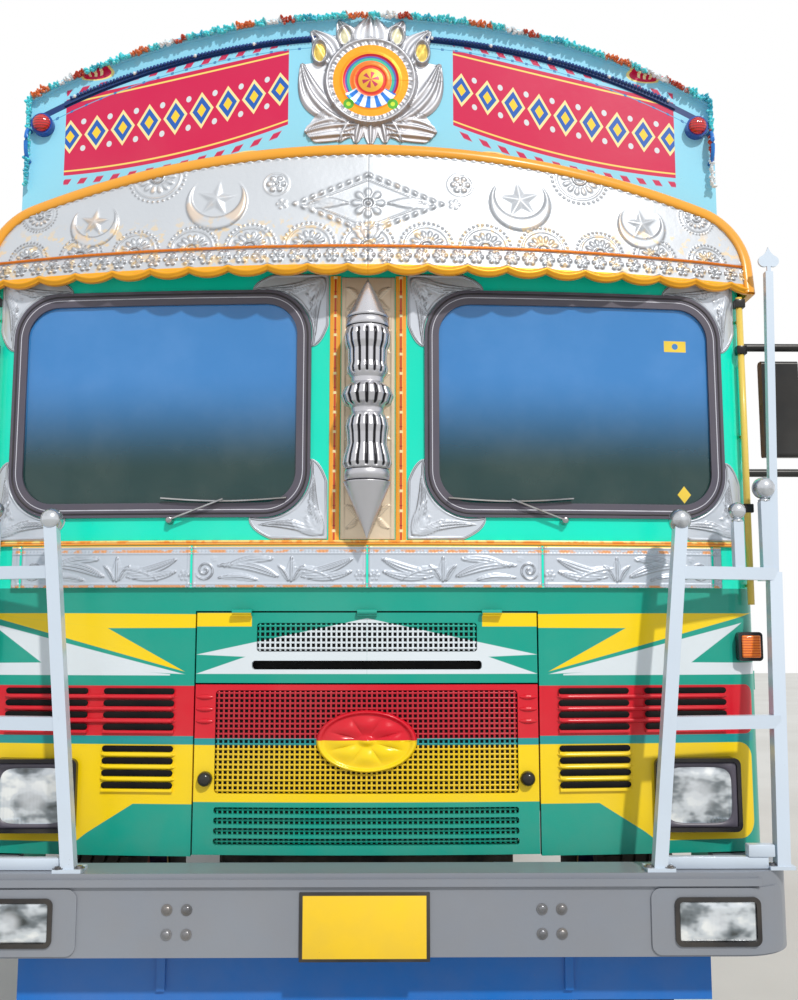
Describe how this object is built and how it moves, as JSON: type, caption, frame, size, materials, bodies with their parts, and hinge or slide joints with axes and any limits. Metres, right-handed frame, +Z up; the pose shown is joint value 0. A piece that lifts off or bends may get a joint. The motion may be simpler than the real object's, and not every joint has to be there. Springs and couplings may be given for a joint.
{
  "type": "decorated goods truck",
  "caption": "Two-axle cab-over goods truck with a coach-built cab, an arched peak and board over the windscreens, steering, doors, a lid, a drop tailboard and a high-sided load body.",
  "frame": {"origin": "on the ground under the middle of the truck's length and width", "axes": "+Z up, +X to the truck's own left side, -Y to its front, so +Y runs to the tail"},
  "size_m": [2.908, 7.4998, 3.7495],
  "materials": {
    "chassis_black": "satin",
    "cast_grey": "rough",
    "bumper_grey": "gloss",
    "bright_blue": "gloss",
    "tyre_rubber": "dusty",
    "wheel_paint": "satin",
    "cab_green": "gloss",
    "grille_paint": "gloss",
    "glass": "clear",
    "seal_rubber": "satin",
    "silver_paint": "gloss",
    "embossed_silver": "bright",
    "sky_paint": "gloss",
    "rosette_silver": "bright",
    "lamp_glass": "clear",
    "black_paint": "gloss",
    "floor_mat": "matt",
    "cab_paint": "gloss",
    "seat_cloth": "woven",
    "dash_plastic": "matt",
    "body_paint": "gloss",
    "bed_wood": "worn",
    "tank_paint": "gloss"
  },
  "bodies": {
    "chassis": {"frame_rails": "chassis_black", "cross_members": "chassis_black", "front_bumper": "bumper_grey", "underrun_beam": "bright_blue", "front_springs": "cast_grey", "rear_springs": "cast_grey", "front_axle": "cast_grey", "rear_axle": "cast_grey", "engine": "cast_grey", "drive_shaft": "cast_grey", "fuel_tank": "tank_paint", "battery_box": "chassis_black", "exhaust": "cast_grey", "spare_tyre": "tyre_rubber", "spare_rim": "wheel_paint", "cowl_panels": "cab_green", "grille_panel": "grille_paint", "windscreen_frame": "cab_green", "cab_glass": "glass", "window_rubbers": "seal_rubber", "centre_spindle": "silver_paint", "peak": "embossed_silver", "cab_roof": "cab_paint", "header_board": "sky_paint", "roof_rack": "bright_blue", "rosette": "rosette_silver", "front_guards": "silver_paint", "lamps": "lamp_glass", "mirrors": "black_paint", "cab_floor": "floor_mat", "cab_back": "cab_paint", "seat_pads": "seat_cloth", "dashboard": "dash_plastic", "body_floor": "bed_wood", "body_headboard": "body_paint", "tail_frame": "body_paint", "rear_mudguards": "chassis_black", "cab_side_left": "cab_paint", "body_side_left": "body_paint", "cab_side_right": "cab_paint", "body_side_right": "body_paint"},
    "bonnet_lid": {"bonnet_lid": "grille_paint"},
    "tailboard": {"tailboard": "body_paint"},
    "steering_wheel": {"steering_wheel": "dash_plastic"},
    "track_rod": {"track_rod": "cast_grey"},
    "door_left": {"door_left": "cab_paint", "door_glass_left": "glass"},
    "knuckle_left": {"knuckle_left": "cast_grey"},
    "front_wheel_left": {"tyre_front_left": "tyre_rubber", "rim_front_left": "wheel_paint"},
    "rear_wheels_left": {"tyres_rear_left": "tyre_rubber", "rims_rear_left": "wheel_paint"},
    "door_right": {"door_right": "cab_paint", "door_glass_right": "glass"},
    "knuckle_right": {"knuckle_right": "cast_grey"},
    "front_wheel_right": {"tyre_front_right": "tyre_rubber", "rim_front_right": "wheel_paint"},
    "rear_wheels_right": {"tyres_rear_right": "tyre_rubber", "rims_rear_right": "wheel_paint"}
  },
  "joints": [
    {"name": "steer_left", "type": "hinge", "parent": "chassis", "child": "knuckle_left", "pos_m": [0.83, -2.45, 0.525], "axis": [0, 0, 1], "range_deg": [-35, 35]},
    {"name": "steer_right", "type": "hinge", "parent": "chassis", "child": "knuckle_right", "pos_m": [-0.83, -2.45, 0.525], "axis": [0, 0, 1], "range_deg": [-35, 35]},
    {"name": "track_rod_swing", "type": "hinge", "parent": "knuckle_left", "child": "track_rod", "pos_m": [0.83, -2.26, 0.475], "axis": [0, 0, 1], "range_deg": [-35, 35]},
    {"name": "front_roll_left", "type": "hinge", "parent": "knuckle_left", "child": "front_wheel_left", "pos_m": [0.965, -2.45, 0.525], "axis": [1, 0, 0], "continuous": true},
    {"name": "front_roll_right", "type": "hinge", "parent": "knuckle_right", "child": "front_wheel_right", "pos_m": [-0.965, -2.45, 0.525], "axis": [1, 0, 0], "continuous": true},
    {"name": "rear_roll_left", "type": "hinge", "parent": "chassis", "child": "rear_wheels_left", "pos_m": [0.908, 1.775, 0.525], "axis": [1, 0, 0], "continuous": true},
    {"name": "rear_roll_right", "type": "hinge", "parent": "chassis", "child": "rear_wheels_right", "pos_m": [-0.908, 1.775, 0.525], "axis": [1, 0, 0], "continuous": true},
    {"name": "wheel_turn", "type": "hinge", "parent": "chassis", "child": "steering_wheel", "pos_m": [-0.6, -2.99, 1.96], "axis": [0, 0.3624, 0.932], "range_deg": [-640, 640]},
    {"name": "lid_hinge", "type": "hinge", "parent": "chassis", "child": "bonnet_lid", "pos_m": [0, -3.572, 1.616], "axis": [1, 0, 0], "range_deg": [-80, 0]},
    {"name": "door_hinge_left", "type": "hinge", "parent": "chassis", "child": "door_left", "pos_m": [1.245, -3.347, 1.9], "axis": [0, 0, 1], "range_deg": [-70, 0]},
    {"name": "door_hinge_right", "type": "hinge", "parent": "chassis", "child": "door_right", "pos_m": [-1.245, -3.347, 1.9], "axis": [0, 0, 1], "range_deg": [0, 70]},
    {"name": "tailboard_hinge", "type": "hinge", "parent": "chassis", "child": "tailboard", "pos_m": [0, 3.72, 1.24], "axis": [1, 0, 0], "range_deg": [-170, 0]}
  ],
  "couplings": [
    {"joint": "steer_right", "follows": "steer_left", "ratio": 1},
    {"joint": "track_rod_swing", "follows": "steer_left", "ratio": -1},
    {"joint": "wheel_turn", "follows": "steer_left", "ratio": 18}
  ]
}
